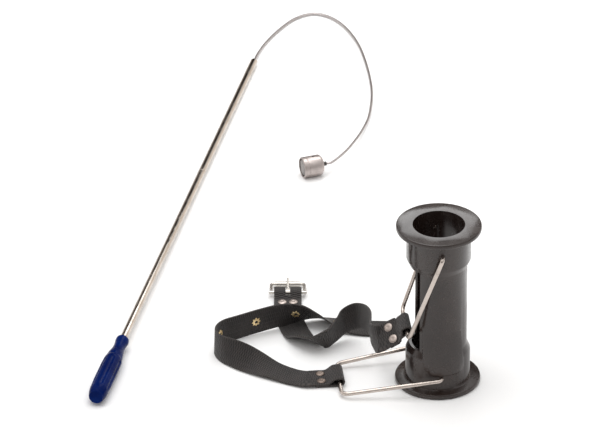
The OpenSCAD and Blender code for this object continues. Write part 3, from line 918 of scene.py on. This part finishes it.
def loopProfile():
    # distance out from the bar and height off it, from the long strand round to the short end
    lap = lowHeight + webbing["thick"] + webbing["lap"]
    profile = [(s, lap) for s in webbing["longRun"]] + list(webbing["rise"])
    for degrees in webbing["foldTurns"]:
        angle = math.radians(degrees)
        height = lowHeight + foldRadius + foldRadius * math.sin(angle)
        profile.append((-webbing["foldBack"] - foldRadius * math.cos(angle), height))
    return profile + [(s, lowHeight) for s in webbing["shortRun"]]


def loopStations(bar, out, up, width, turn=0.0):
    # the loop leaves its bar square and turns about its own run
    stops = []
    for s, h in loopProfile():
        share = min(max((s - webbing["turnFrom"]) / webbing["turnOver"], 0), 1)
        angle = math.radians(turn) * share
        lift = up * math.cos(angle) - width * math.sin(angle)
        place = bar + out * s * mm + lift * h * mm
        stops.append((place, width * math.cos(angle) + up * math.sin(angle)))
    return stops


def towards(x, y, z):
    return fromGag(x, y, z).normalized()


out, side, up = towards(-1, 0, 0), towards(0, 1, 0), Vector((0, 0, 1))
reach, hang, fall = bails["reach"], math.radians(bails["hang"]), math.radians(webbing["fall"])
lowerBar = fromGag(-reach * math.cos(math.radians(lowerSlope)), webbing["offBar"], barHeight)
upperBar = fromGag(-reach * math.cos(hang), 0, topPivot - reach * math.sin(hang))
upperOut = towards(-math.cos(fall), 0, -math.sin(fall))
upperUp = towards(-math.sin(fall), 0, math.cos(fall))
heel = Vector((*webbing["heel"], barHeight)) * mm

# centre of the strap and the way across it, from the bail outwards
eyeletRun = [
    ((-152, -7, 3.4), (0.1, 0.99, 0)), ((-168, 0, 2.2), (0.4, 0.92, 0)),
    ((-190, 11, 4.6), (0.45, 0.89, 0.04)), ((-212, 22, 9), (0.42, 0.75, 0.45)),
    ((-231, 29, 14.4), (0.3, 0.4, 0.85)), ((-247, 38, 16.2), (0.1, 0.12, 0.98)),
    ((-255, 51, 16.4), (0.03, 0, 1)), ((-254, 65, 16.4), (0.03, -0.02, 1)),
    ((-245, 77, 16.4), (0, -0.04, 1)), ((-228, 87, 16.6), (0, -0.06, 1)),
    ((-205, 99, 17.4), (0, -0.07, 1)), ((-183, 108, 18.6), (0.02, -0.12, 0.99)),
    ((-163, 113, 18.2), (0.05, -0.3, 0.95)), ((-144, 116, 14), (0.1, -0.7, 0.7)),
    ((-124, 116, 7.5), (0.1, -0.93, 0.35)), ((-104, 112, 3.2), (-0.15, -0.97, 0.1)),
    ((-84, 108, 1.8), (-0.1, -0.99, 0)), ((-62, 107, 1.7), (0, -1, 0)),
    ((-38, 107, 1.7), (0, -1, 0)),
]
buckleRun = [
    ((-69, -3.5, 54.2), (-0.3, 0.78, 0.54)), ((-75, 9, 50.5), (-0.2, 0.35, 0.9)),
    ((-76, 30, 46.5), (-0.03, 0.05, 1)), ((-77, 53, 42), (0, 0, 1)),
    ((-82, 73, 37), (0, 0, 1)), ((-92, 86, 31.5), (0, 0, 1)),
    ((-105, 86, 25), (0, 0, 1)), ((-116, 75, 18.8), (0, -0.15, 0.98)),
    ((-126, 63, 15.4), (-0.1, -0.4, 0.91)), ((-138, 60, 12.4), (-0.42, -0.56, 0.7)),
    ((-150, 72, 8), (-0.75, -0.42, 0.5)), ((-160, 92, 2.6), (-0.9, -0.42, 0.08)),
    ((-166, 112, 1.2), (-0.96, -0.25, 0)), ((-170, 130, 1.3), (-0.99, -0.1, 0)),
    ((-172, 144, 3.2), (-1, 0, 0)),
]


def stations(run):
    return [(Vector(c) * mm, Vector(w)) for c, w in run]


def squareTo(tangent, width):
    return (width - tangent * width.dot(tangent)).normalized()


def cleared(centres, widths):
    # raises a strap's line until its lower edge clears the floor
    line = []
    for i, place in enumerate(centres):
        tangent = direction(centres, i)
        width = squareTo(tangent, widths[i])
        hanging = webbing["width"] / 2 * abs(width.z)
        cloth = webbing["thick"] / 2 * abs(tangent.cross(width).z)
        edge = hanging + cloth + webbing["lie"]
        line.append(Vector((place.x, place.y, max(place.z, edge * mm))))
    return line


def cutSlot(bm, at):
    # lets the buckle's prong out of the fold
    half, near, far = (v * mm for v in webbing["slot"])
    gone = []
    for face in bm.faces:
        offset = face.calc_center_median() - at
        if abs(offset.x) < half and near < offset.y < far:
            gone.append(face)
    bmesh.ops.delete(bm, geom=gone, context="FACES")


def makeStrap(name, stops, node, slotAt=None):
    centres = smoothLine([c for c, _ in stops], webbing["steps"])
    widths = smoothLine([w for _, w in stops], webbing["steps"])
    centres = cleared(cleared(centres, widths), widths)
    lengths = runLengths(centres)
    rows, columns = len(centres) - 1, webbing["columns"]
    wide = webbing["width"] * mm
    bm = bmesh.new()
    uvLayer = bm.loops.layers.uv.new("UVMap")
    bmesh.ops.create_grid(bm, x_segments=columns, y_segments=rows, size=0.5, calc_uvs=False)
    places = {}
    for vert in bm.verts:
        across, row = vert.co.x, round((vert.co.y + 0.5) * rows)
        width = squareTo(direction(centres, row), widths[row])
        places[vert] = ((across + 0.5) * wide, lengths[row])
        vert.co = centres[row] + width * across * wide
    for face in bm.faces:
        for loop in face.loops:
            loop[uvLayer].uv = places[loop.vert]
    if slotAt:
        cutSlot(bm, slotAt)
    strap = linkMesh(name, bm, webbingMaterial, 0)
    cloth = strap.modifiers.new("webbingThickness", "SOLIDIFY")
    cloth.thickness = webbing["thick"] * mm
    cloth.offset = 0.0
    rim = strap.modifiers.new("wovenRim", "BEVEL")
    rim.width = webbing["rim"]
    rim.segments = 2
    rim.limit_method = "ANGLE"
    rim.angle_limit = math.radians(60)
    standFor(strap, node)
    return strap, centres, widths, lengths


webbingMaterial = webbingCloth(webbingFinish)
eyeletStops = loopStations(lowerBar, out, up, side)[::-1] + stations(eyeletRun)
buckleStops = loopStations(upperBar, upperOut, upperUp, side, webbing["lapTurn"])[::-1]
buckleStops += stations(buckleRun)
buckleStops += loopStations(heel, Vector((0, -1, 0)), up, Vector((-1, 0, 0)))
eyeletStrap, eyeletLine, eyeletWidths, eyeletLengths = makeStrap(
    "eyeletStrap", eyeletStops, "eyelet_strap"
)
buckleStrap, _, _, buckleLengths = makeStrap("buckleStrap", buckleStops, "buckle_strap", heel)
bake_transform(eyeletStrap)
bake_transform(buckleStrap)


# strap hardware
hardwareMetals = {
    "eyeletBrass": ((0.98, 0.79, 0.46), (0.78, 0.58, 0.3), 0.42, 0.58),
    "rivetNickel": ((0.46, 0.4, 0.37), (0.3, 0.25, 0.22), 0.24, 0.42),
    # a darker copy of the rivet metal, used for the lower rivets
    "rivetDark": ((0.22, 0.175, 0.15), (0.14, 0.105, 0.088), 0.34, 0.5),
    "buckleMetal": ((0.67, 0.64, 0.6), (0.46, 0.43, 0.39), 0.22, 0.4),
}
brass = platedMetal("eyeletBrass", hardwareMetals)
nickelRivet = platedMetal("rivetNickel", hardwareMetals)
darkRivet = platedMetal("rivetDark", hardwareMetals)
buckleMetal = platedMetal("buckleMetal", hardwareMetals, (1, 0, 0))
eyelet = {
    "star": 12.0,
    "waist": 7.6,
    "hole": 3.4,
    "points": 8,
    "lip": ((2.15, 0.75), (2.7, 0.8), (3.3, 0.45), (3.9, 0.3)),  # rolled barrel: reach, height
    "tipHeight": 0.05,
    "barrelDepth": 0.9,
    "gauge": 0.00022,
    "fromEnd": 27,
    "apart": 50,
    "count": 5,
}


def petalReach(setup, angle):
    petal = 0.5 + 0.5 * math.cos(setup["points"] * angle)
    return setup["waist"] / 2 + (setup["star"] - setup["waist"]) / 2 * petal


def eyeletHalf(setup, half):
    # rolled barrel lip, then the star's flat petals, bent down at their tips
    bm = bmesh.new()
    radius = setup["hole"] * mm / 2
    circle = bmesh.ops.create_circle(bm, cap_ends=False, segments=32, radius=radius)
    ring, edges = circle["verts"], list(bm.edges)
    for reach, height in (*setup["lip"], (None, setup["tipHeight"])):
        grown = bmesh.ops.extrude_edge_only(bm, edges=edges)["geom"]
        edges = [g for g in grown if isinstance(g, bmesh.types.BMEdge)]
        for vert in {v for e in edges for v in e.verts}:
            angle = math.atan2(vert.co.y, vert.co.x)
            far = reach or petalReach(setup, angle)
            vert.co = (math.cos(angle) * far * mm, math.sin(angle) * far * mm, height * mm)
    for vert in ring:
        vert.co.z = -half * setup["barrelDepth"]
    bmesh.ops.recalc_face_normals(bm, faces=bm.faces)
    if sum(f.normal.z for f in bm.faces) < 0:
        bmesh.ops.reverse_faces(bm, faces=bm.faces)
    return bm


def makeEyelets(setup):
    whole = bmesh.new()
    half = webbing["thick"] * mm / 2
    for k in range(setup["count"]):
        want = eyeletLengths[-1] - (setup["fromEnd"] + setup["apart"] * k) * mm
        at = min(range(len(eyeletLengths)), key=lambda i: abs(eyeletLengths[i] - want))
        tangent = direction(eyeletLine, at)
        width = squareTo(tangent, eyeletWidths[at])
        turn = Matrix((tangent, width, tangent.cross(width))).transposed()
        for sign in (1, -1):
            bm = eyeletHalf(setup, half)
            flip = Matrix.Diagonal((1, sign, sign))
            for vert in bm.verts:
                local = flip @ vert.co
                local.z += sign * half
                vert.co = eyeletLine[at] + turn @ local
            part = bpy.data.meshes.new("part")
            bm.to_mesh(part)
            bm.free()
            whole.from_mesh(part)
            bpy.data.meshes.remove(part)
    piece = linkMesh("starEyelets", whole, brass, 50.0)
    body = piece.modifiers.new("metalGauge", "SOLIDIFY")
    body.thickness = setup["gauge"]
    body.offset = -1.0
    standFor(piece, "eyelets", "gag")


makeEyelets(eyelet)
for row in (
    ("lower_rivets", "lowerRivets", darkRivet, "lower_bail", "rivet_metal"),
    ("upper_rivets", "upperRivets", nickelRivet, "upper_bail", "rivet_metal"),
    ("buckle_rivets", "buckleRivets", nickelRivet, "gag", "rivet_metal"),
    ("buckle_frame", "buckleFrame", buckleMetal, "buckle", "buckle_metal"),
    ("buckle_roller", "buckleRoller", buckleMetal, "roller", "buckle_metal"),
    ("buckle_prong", "buckleProng", buckleMetal, "prong", "buckle_metal"),
):
    finishedCopy(*row, 0.0003, 30.0)
print("stage: strap hardware")
